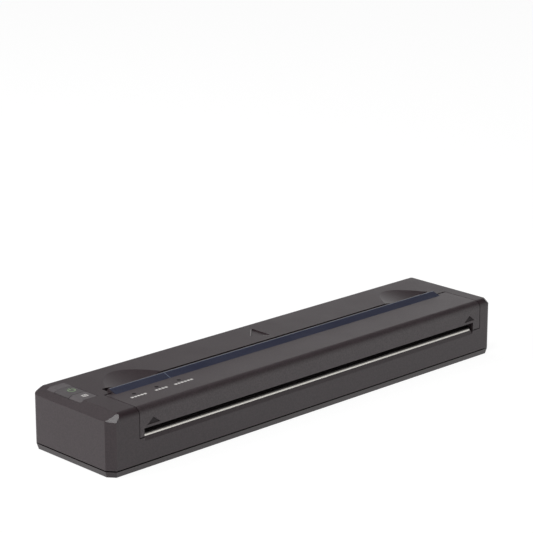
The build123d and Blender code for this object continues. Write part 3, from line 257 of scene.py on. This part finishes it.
# ---------------------------------------------------------------- materials
def moulded_plastic(name, colour, roughness=0.37, grain=2600.0):
    """Spark-eroded moulded plastic: a fine grain, a faint speckle and slow drifts of tone and gloss."""
    material, shader = principled(name, colour, roughness)
    fine = noise(material, grain, 2.0)
    specks = ramp(material, noise(material, grain * 0.55, 1.0), [
        (0.36, shade(colour, 0.82)),
        (0.5, colour),
        (0.66, shade(colour, 1.18)),
    ])
    drift = ramp(material, noise(material, 14.0, 2.0), [(0.3, (0.97, 0.97, 0.97)), (0.7, (1.0, 1.0, 1.0))])
    link(material, multiply(material, specks, drift), shader.inputs["Base Color"])
    gloss = span(material, noise(material, 60.0, 3.0), roughness - 0.015, roughness + 0.02)
    link(material, gloss, shader.inputs["Roughness"])
    bump(material, shader, fine, 0.35, 0.00004)
    return material


def satin_plastic(name, colour, roughness=0.3, coat=0.0):
    """Smoother plastic with faint handling marks in its gloss."""
    material, shader = principled(name, colour, roughness, coat=coat)
    marks = noise(material, 900.0, 2.0)
    tone = ramp(material, marks, [(0.3, shade(colour, 0.93)), (0.7, shade(colour, 1.06))])
    link(material, tone, shader.inputs["Base Color"])
    rub = noise(material, 240.0, 3.0, stretch=(0.2, 1.0, 1.0))
    link(material, span(material, rub, roughness - 0.05, roughness + 0.08), shader.inputs["Roughness"])
    bump(material, shader, noise(material, 1800.0, 1.0), 0.12, 0.00002)
    return material


def rubber(name, colour, roughness, ground=False):
    """Matt rubber; a ground roller also has fine rings round its axis."""
    material, shader = principled(name, colour, roughness, specular=0.3)
    stretch = (6.0, 0.05, 0.05) if ground else (1.0, 1.0, 1.0)
    rings = noise(material, 900.0, 3.0, stretch=stretch)
    dust = noise(material, 500.0, 4.0)
    tone = ramp(material, dust, [(0.35, shade(colour, 0.8)), (0.75, shade(colour, 1.5))])
    link(material, tone, shader.inputs["Base Color"])
    link(material, span(material, dust, roughness - 0.08, roughness + 0.08), shader.inputs["Roughness"])
    bump(material, shader, rings, 0.3, 0.00003)
    return material


def metal(name, colour, roughness, scale=1600.0):
    """Metal with a drawn or rolled grain along X and slow changes of tone."""
    material, shader = principled(name, colour, roughness, metallic=1.0)
    grain = noise(material, scale, 3.0, stretch=(0.04, 1.0, 1.0))
    cloud = noise(material, 90.0, 4.0)
    tone = ramp(material, cloud, [(0.3, shade(colour, 0.88)), (0.7, shade(colour, 1.12))])
    link(material, tone, shader.inputs["Base Color"])
    link(material, span(material, grain, roughness - 0.1, roughness + 0.12), shader.inputs["Roughness"])
    bump(material, shader, grain, 0.15, 0.00002)
    return material


def circuit_board(name, mask, copper):
    """Green solder mask over tracks that show as slightly lighter lines."""
    material, shader = principled(name, mask, 0.35)
    coordinates = add_node(material, "ShaderNodeTexCoord")
    tracks = add_node(material, "ShaderNodeTexBrick", offset=0.37, squash=0.6)
    tracks.inputs["Scale"].default_value = 130.0
    tracks.inputs["Mortar Size"].default_value = 0.05
    tracks.inputs["Color1"].default_value = (*mask, 1.0)
    tracks.inputs["Color2"].default_value = (*shade(mask, 0.8), 1.0)
    tracks.inputs["Mortar"].default_value = (*copper, 1.0)
    link(material, coordinates.outputs["Object"], tracks.inputs["Vector"])
    tone = ramp(material, noise(material, 70.0, 3.0), [(0.3, (0.85, 0.85, 0.85)), (0.7, (1.0, 1.0, 1.0))])
    link(material, multiply(material, tracks.outputs["Color"], tone), shader.inputs["Base Color"])
    link(material, span(material, noise(material, 300.0, 2.0), 0.28, 0.42), shader.inputs["Roughness"])
    bump(material, shader, tracks.outputs["Fac"], 0.3, 0.00004)
    return material


def ink(name, colour, roughness=0.45, glow=0.0, specular=0.5):
    """Printed mark or painted highlight, with the slightly uneven edge tone of pad printing; glow, where
    given, makes it shine by itself.
    """
    material, shader = principled(name, colour, roughness, specular=specular)
    tone = ramp(material, noise(material, 2200.0, 2.0), [(0.35, shade(colour, 0.82)), (0.6, colour)])
    link(material, tone, shader.inputs["Base Color"])
    if glow:
        shader.inputs["Emission Color"].default_value = (*colour, 1.0)
        shader.inputs["Emission Strength"].default_value = glow
    return material


def clear_lens(name, colour):
    """Smoked lens over an unlit light."""
    material, shader = principled(name, colour, 0.4, specular=0.15)
    tone = ramp(material, noise(material, 800.0, 1.0), [(0.3, shade(colour, 0.9)), (0.7, shade(colour, 1.1))])
    link(material, tone, shader.inputs["Base Color"])
    return material


CASE = (0.033, 0.021, 0.025)
COVER = (0.053, 0.040, 0.044)
materials = {
    "case_plastic": moulded_plastic("case_plastic", CASE),
    # the base is the case colour darkened to three quarters: painted shade, for the dim light on its front
    # near the floor
    "base_plastic": moulded_plastic("base_plastic", shade(CASE, 0.75)),
    "cover_plastic": moulded_plastic("cover_plastic", COVER),
    "panel_plastic": satin_plastic("panel_plastic", (0.104, 0.092, 0.097), 0.42),
    "key_plastic": satin_plastic("key_plastic", (0.082, 0.073, 0.077), 0.42),
    "blue_trim": satin_plastic("blue_trim", (0.027, 0.031, 0.060), 0.34, coat=0.1),
    # the lip strip is pale of its own; its glow is a painted highlight, for the light it catches at the mouth
    # of the feed slot
    "pale_strip": ink("pale_strip", (0.90, 0.87, 0.81), 0.45, glow=0.25),
    # lighter than black plastic is: painted light, so that the shaded inside of the feed slot shows lighter
    "black_plastic": moulded_plastic("black_plastic", (0.060, 0.054, 0.057), 0.45, grain=1800.0),
    "gear_plastic": satin_plastic("gear_plastic", (0.66, 0.64, 0.56), 0.4),
    "platen_rubber": rubber("platen_rubber", (0.028, 0.028, 0.030), 0.62, ground=True),
    "foot_rubber": rubber("foot_rubber", (0.02, 0.02, 0.02), 0.8),
    "sheet_steel": metal("sheet_steel", (0.52, 0.53, 0.55), 0.36),
    "bright_steel": metal("bright_steel", (0.60, 0.60, 0.61), 0.22),
    "aluminium": metal("aluminium", (0.68, 0.69, 0.70), 0.34, scale=2200.0),
    "ceramic": satin_plastic("ceramic", (0.70, 0.68, 0.60), 0.18, coat=0.4),
    "brass": metal("brass", (0.62, 0.45, 0.18), 0.28),
    "circuit_board": circuit_board("circuit_board", (0.006, 0.075, 0.03), (0.03, 0.17, 0.07)),
    "component_black": moulded_plastic("component_black", (0.02, 0.02, 0.022), 0.42, grain=1500.0),
    "flat_cable": satin_plastic("flat_cable", (0.35, 0.13, 0.02), 0.25, coat=0.3),
    "clear_plastic": clear_lens("clear_plastic", (0.006, 0.004, 0.005)),
    "battery_wrap": satin_plastic("battery_wrap", (0.03, 0.03, 0.034), 0.42),
    "dome_film": satin_plastic("dome_film", (0.52, 0.54, 0.55), 0.3),
    "white_ink": ink("white_ink", (0.74, 0.72, 0.70)),
    "arrow_ink": ink("arrow_ink", (0.050, 0.044, 0.046), 0.6, specular=0.1),
    # painted highlight for two edges of the centre mark
    "edge_highlight_paint": ink("edge_highlight_paint", (0.30, 0.28, 0.28)),
    # one colour for the line across the blue strip and for the painted highlight along its crest
    "tick_mark_and_crest_highlight": ink("tick_mark_and_crest_highlight", (0.16, 0.19, 0.26)),
    "green_light": ink("green_light", (0.24, 0.36, 0.19), 0.35, glow=0.1),
    # painted shade for the recess round each indicator light
    "dark_recess": ink("dark_recess", (0.030, 0.026, 0.028), 0.6, specular=0.1),
}

# width of the small round on each moulded piece's edges
SOFT_EDGES = {
    "upper_case": 0.00012,
    "cover_shell": 0.00012,
    "lower_case": 0.00010,
    "power_key": 0.00012,
    "feed_key": 0.00012,
    "battery_door": 0.00012,
}
SHARP_ANGLE = math.radians(28.0)
SOFT_ANGLE = math.radians(32.0)
slots = {entry["node"]: entry["material_slot"] for entry in frame["record"]["subparts"]}
slots["power_key"] = "key_plastic"


def dress(name, obj):
    """Give a CAD node its material and smooth its curved faces."""
    obj.data.materials.clear()
    obj.data.materials.append(materials[slots[name]])
    for polygon in obj.data.polygons:
        polygon.material_index = 0
        polygon.use_smooth = True
    obj.data.set_sharp_from_angle(angle=SHARP_ANGLE)


def soften(name, width):
    """Round a moulded piece's sharp edges a little, as they come out of a mould."""
    modifier = nodes[name].modifiers.new("moulded_edges", "BEVEL")
    modifier.width = width
    modifier.segments = 2
    modifier.limit_method = "ANGLE"
    modifier.angle_limit = SOFT_ANGLE
    modifier.use_clamp_overlap = False
    modifier.harden_normals = True


for node_name, node_object in nodes.items():
    dress(node_name, node_object)
for node_name, width in SOFT_EDGES.items():
    soften(node_name, width)


# ---------------------------------------------------------------- printed marks
def key_mark(name, key, low, high, shift, ink_name, build_flat):
    """Mark printed on a key; build_flat draws it round the given middle, between two heights."""
    x = (low.x + high.x) / 2 + shift[0]
    y = (low.y + high.y) / 2 + shift[1]
    z = (high.z + PRINT_LIFT, high.z + PRINT_LIFT + PRINT)
    mark = new_mesh(name, lambda bm: build_flat(bm, x, y, z))
    mark.data.materials.append(materials[ink_name])
    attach(mark, key)


def power_ring(bm, x, y, z):
    """Ring with a gap and an upright stroke in the gap."""
    inner, outer = RING_RADII
    start, sweep = math.pi / 2 + RING_GAP, 2 * math.pi - 2 * RING_GAP
    add_ring(bm, (x, y), inner, outer, *z, start=start, sweep=sweep)
    add_slab(bm, rectangle((x, y + inner), *RING_STROKE), *z)


def feed_icon(bm, x, y, z):
    """Outline of a sheet with an arrow in it."""
    width, depth, line = FEED_ICON
    for side in (-1, 1):
        add_slab(bm, rectangle((x + side * (width - line) / 2, y), line, depth), *z)
        add_slab(bm, rectangle((x, y + side * (depth - line) / 2), width - 2 * line, line), *z)
    add_slab(bm, rectangle((x, y + FEED_SHAFT_SHIFT), *FEED_SHAFT), *z)
    base = y - FEED_HEAD_BASE
    head = [(x - FEED_HEAD_HALF, base), (x, y - FEED_HEAD_TIP), (x + FEED_HEAD_HALF, base)]
    add_slab(bm, head, *z)


def light_middles():
    """X of the three indicator lights, and their Y."""
    xs = [pipe_low.x + LIGHT_MARGIN, (pipe_low.x + pipe_high.x) / 2, pipe_high.x - LIGHT_MARGIN]
    return xs, (pipe_low.y + pipe_high.y) / 2


def indicator_marks():
    """Row of plain bars in front of each indicator light, a different length for each."""
    xs, light_y = light_middles()
    y = light_y - BAR_OFFSET
    z = (TOP + PRINT_LIFT, TOP + PRINT_LIFT + PRINT)

    def build(bm):
        for x, bars in zip(xs, BAR_COUNTS):
            for k in range(bars):
                middle = x + (k - (bars - 1) / 2) * BAR_PITCH
                add_slab(bm, rectangle((middle, y), BAR_SIZE, BAR_SIZE), *z)

    mark = new_mesh("indicator_marks", build)
    mark.data.materials.append(materials["white_ink"])
    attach(mark, "release_cover")


def indicator_shade_rings():
    """Dark ring round each indicator light: painted shade of the recess it sits in."""
    xs, y = light_middles()
    z = (TOP + PRINT_LIFT, TOP + PRINT_LIFT + PRINT)

    def build(bm):
        for x in xs:
            add_ring(bm, (x, y), *LIGHT_RING, *z)

    rings = new_mesh("indicator_shade_rings", build)
    rings.data.materials.append(materials["dark_recess"])
    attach(rings, "release_cover")


def arrow_fills():
    """Dark fills in the two recessed arrows above the ends of the feed slot."""
    base = lip_low.z + ARROW_BASE
    y = cover_low.y + ARROW_RECESS

    def build(bm):
        for x in (lip_low.x + ARROW_LEFT, lip_high.x - ARROW_RIGHT):
            half = ARROW_WIDTH / 2
            corners = [(x - half, base), (x + half, base), (x, base + ARROW_HEIGHT)]
            front = [bm.verts.new((cx, y - PRINT, cz)) for cx, cz in corners]
            back = [bm.verts.new((cx, y - PRINT_LIFT, cz)) for cx, cz in corners]
            bm.faces.new(front)
            bm.faces.new(reversed(back))
            for k in range(3):
                n = (k + 1) % 3
                bm.faces.new((front[k], front[n], back[n], back[k]))

    fills = new_mesh("arrow_fills", build)
    fills.data.materials.append(materials["arrow_ink"])
    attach(fills, "release_cover")


def strip_tick():
    """Thin pale line across the blue strip, near its left end."""
    half = TICK_WIDTH / 2
    run = strip_high.y - strip_low.y
    rise = strip_high.z - TOP
    slope = math.hypot(run, rise)
    outwards = Vector((0.0, -rise / slope, run / slope))

    def build(bm):
        foot = Vector((0.0, strip_low.y, TOP))
        crest = Vector((0.0, strip_high.y, strip_high.z))
        rows = []
        for lift in (PRINT_LIFT, PRINT_LIFT + PRINT):
            row = []
            for side, end in ((-1, foot), (1, foot), (1, crest), (-1, crest)):
                across = Vector((TICK_X + side * half, 0.0, 0.0))
                row.append(bm.verts.new(end + outwards * lift + across))
            rows.append(row)
        bm.faces.new(reversed(rows[0]))
        bm.faces.new(rows[1])
        for k in range(4):
            n = (k + 1) % 4
            bm.faces.new((rows[0][k], rows[0][n], rows[1][n], rows[1][k]))

    tick = new_mesh("strip_tick", build)
    tick.data.materials.append(materials["tick_mark_and_crest_highlight"])
    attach(tick, "release_cover")


def strip_crest_highlight():
    """Painted highlight: a pale line along the crest of the blue strip, for light caught by its rounded edge.
    """
    middle = ((strip_low.x + strip_high.x) / 2, strip_high.y + CREST_HIGHLIGHT_WIDTH / 2)
    outline = rectangle(middle, strip_high.x - strip_low.x, CREST_HIGHLIGHT_WIDTH)
    z = (strip_high.z + PRINT_LIFT, strip_high.z + PRINT_LIFT + PRINT)
    line = new_mesh("strip_crest_highlight", lambda bm: add_slab(bm, outline, *z))
    line.data.materials.append(materials["tick_mark_and_crest_highlight"])
    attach(line, "release_cover")


def mark_highlights():
    """Painted highlights: light lines on two edges of the triangular mark behind the exit slot, for light
    caught by those edges.
    """
    z = (TOP + PRINT_LIFT, TOP + PRINT_LIFT + PRINT)
    centre_x = (strip_low.x + strip_high.x) / 2 + MARK_SHIFT

    def build(bm):
        for (start_x, start_y), (end_x, end_y) in MARK_LINES:
            start = Vector((centre_x + start_x, start_y))
            end = Vector((centre_x + end_x, end_y))
            along = end - start
            turn = math.atan2(along.y, along.x)
            add_slab(bm, rectangle((start + end) / 2, along.length, MARK_LINE, turn), *z)

    lines = new_mesh("mark_highlights", build)
    lines.data.materials.append(materials["edge_highlight_paint"])
    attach(lines, "housing")


strip_tick()
strip_crest_highlight()
mark_highlights()
key_mark("power_mark", "power_key", power_low, power_high, RING_SHIFT, "green_light", power_ring)
key_mark("feed_mark", "feed_key", feed_low, feed_high, FEED_SHIFT, "white_ink", feed_icon)
indicator_marks()
indicator_shade_rings()
arrow_fills()


# ---------------------------------------------------------------- stage
WHITE = (1.0, 1.0, 1.0, 1.0)
FLOOR_SIZE = 8.0
FLOOR_THICKNESS = 0.002
FLOOR_GREY = 0.86
FLOOR_GLOW = 0.85  # share of plain white in the floor that the camera sees
FLOOR_WHITE = 1.1

# the sky's light: a pale band up to the first height, a dim sky from the second, brighter towards +X
SKY_BAND = (0.30, 0.45)
SKY_LOW = (1.0, 1.0, 1.0)
SKY_HIGH = (0.04, 0.04, 0.04)
SIDE_SPAN = (0.45, 0.85)
SIDE_LIGHT = (0.25, 1.25)

# name, place, target, width and depth, watts
LAMPS = (
    ("key", (-0.46, -0.24, 1.15), (0.0, 0.0, 0.0), (0.18, 0.18), 5.0),
    ("top_fill", (0.15, 0.35, 1.2), (0.0, 0.0, 0.0), (0.5, 0.5), 3.0),
    ("rear_fill", (-0.05, 0.83, 0.88), (-0.1, 0.0, 0.02), (0.4, 0.4), 0.6),
    ("front_fill", (-0.1, -1.2, 0.25), (0.0, 0.0, 0.02), (0.8, 0.3), 0.5),
    ("left_fill", (-1.05, 0.5, 0.6), (0.0, 0.0, 0.02), (0.6, 0.6), 8.0),
)


def maximum(tree, a, b):
    """Larger of two values."""
    node = tree.nodes.new("ShaderNodeMath")
    node.operation = "MAXIMUM"
    tree.links.new(a, node.inputs[0])
    tree.links.new(b, node.inputs[1])
    return node.outputs[0]


def mix_shaders(tree, factor, otherwise, shown):
    """The second shader where the factor is 1, the first where it is 0."""
    node = tree.nodes.new("ShaderNodeMixShader")
    tree.links.new(factor, node.inputs[0])
    tree.links.new(otherwise, node.inputs[1])
    tree.links.new(shown, node.inputs[2])
    return node.outputs[0]


def make_floor():
    """Pale floor; camera, glossy and transmission rays see it whiter than the rest do."""
    def build(bm):
        add_slab(bm, rectangle((0.0, 0.0), FLOOR_SIZE, FLOOR_SIZE), -FLOOR_THICKNESS, 0.0)

    floor = new_mesh("floor", build)
    material = bpy.data.materials.new("floor_white")
    material.use_nodes = True
    tree = material.node_tree
    diffuse = tree.nodes["Principled BSDF"]
    diffuse.inputs["Base Color"].default_value = (FLOOR_GREY, FLOOR_GREY, FLOOR_GREY, 1.0)
    diffuse.inputs["Roughness"].default_value = 0.9
    diffuse.inputs["Specular IOR Level"].default_value = 0.0
    glow = tree.nodes.new("ShaderNodeEmission")
    glow.inputs["Color"].default_value = WHITE
    glow.inputs["Strength"].default_value = FLOOR_WHITE
    half = tree.nodes.new("ShaderNodeMixShader")
    half.inputs[0].default_value = FLOOR_GLOW
    tree.links.new(diffuse.outputs[0], half.inputs[1])
    tree.links.new(glow.outputs[0], half.inputs[2])
    path = tree.nodes.new("ShaderNodeLightPath")
    seen = maximum(tree, path.outputs["Is Camera Ray"], path.outputs["Is Glossy Ray"])
    seen = maximum(tree, seen, path.outputs["Is Transmission Ray"])
    out = mix_shaders(tree, seen, diffuse.outputs[0], half.outputs[0])
    tree.links.new(out, tree.nodes["Material Output"].inputs["Surface"])
    floor.data.materials.append(material)


def sky_light(tree):
    """Colour of the sky's light: pale low and dim high, and brighter towards +X."""
    coordinates = tree.nodes.new("ShaderNodeTexCoord")
    split = tree.nodes.new("ShaderNodeSeparateXYZ")
    tree.links.new(coordinates.outputs["Generated"], split.inputs[0])
    height = tree.nodes.new("ShaderNodeValToRGB")
    for element, position, colour in zip(height.color_ramp.elements, SKY_BAND, (SKY_LOW, SKY_HIGH)):
        element.position = position
        element.color = (*colour, 1.0)
    tree.links.new(split.outputs["Z"], height.inputs["Fac"])
    side = tree.nodes.new("ShaderNodeMapRange")
    side.inputs["From Min"].default_value = SIDE_SPAN[0]
    side.inputs["From Max"].default_value = SIDE_SPAN[1]
    side.inputs["To Min"].default_value = SIDE_LIGHT[0]
    side.inputs["To Max"].default_value = SIDE_LIGHT[1]
    tree.links.new(split.outputs["X"], side.inputs["Value"])
    graded = tree.nodes.new("ShaderNodeMix")
    graded.data_type = "RGBA"
    graded.blend_type = "MULTIPLY"
    graded.inputs["Factor"].default_value = 1.0
    tree.links.new(height.outputs["Color"], graded.inputs[6])
    tree.links.new(side.outputs["Result"], graded.inputs[7])
    return graded.outputs[2]


def make_world():
    """White to camera and transmission rays; the sky's light to all others, glossy rays among them."""
    world = bpy.data.worlds.new("studio")
    bpy.context.scene.world = world
    world.use_nodes = True
    tree = world.node_tree
    light = tree.nodes["Background"]
    light.inputs["Strength"].default_value = 1.0
    tree.links.new(sky_light(tree), light.inputs["Color"])
    white = tree.nodes.new("ShaderNodeBackground")
    white.inputs["Color"].default_value = WHITE
    white.inputs["Strength"].default_value = 1.0
    path = tree.nodes.new("ShaderNodeLightPath")
    seen = maximum(tree, path.outputs["Is Camera Ray"], path.outputs["Is Transmission Ray"])
    out = mix_shaders(tree, seen, light.outputs[0], white.outputs[0])
    tree.links.new(out, tree.nodes["World Output"].inputs["Surface"])


def area_light(name, place, target, size, power):
    """Rectangular lamp that faces a target."""
    data = bpy.data.lights.new(name, "AREA")
    data.shape = "RECTANGLE"
    data.size, data.size_y = size
    data.energy = power
    lamp = bpy.data.objects.new(name, data)
    lamp.location = place
    lamp.rotation_euler = (Vector(target) - Vector(place)).to_track_quat("-Z", "Y").to_euler()
    bpy.context.scene.collection.objects.link(lamp)


def make_camera():
    """Camera at the photograph's angle and framing."""
    data = bpy.data.cameras.new("camera")
    data.sensor_width = SENSOR_MM
    data.sensor_fit = "HORIZONTAL"
    data.lens = SENSOR_MM * LENS_IN_IMAGE_WIDTHS
    data.clip_start = CAMERA_NEAR
    camera = bpy.data.objects.new("camera", data)
    camera.location = CAMERA_PLACE
    camera.rotation_euler = (math.pi / 2 - CAMERA_PITCH, 0.0, -CAMERA_YAW)
    bpy.context.scene.collection.objects.link(camera)
    bpy.context.scene.camera = camera


make_floor()
make_world()
for lamp in LAMPS:
    area_light(*lamp)
make_camera()
bpy.context.scene.view_settings.view_transform = "Standard"
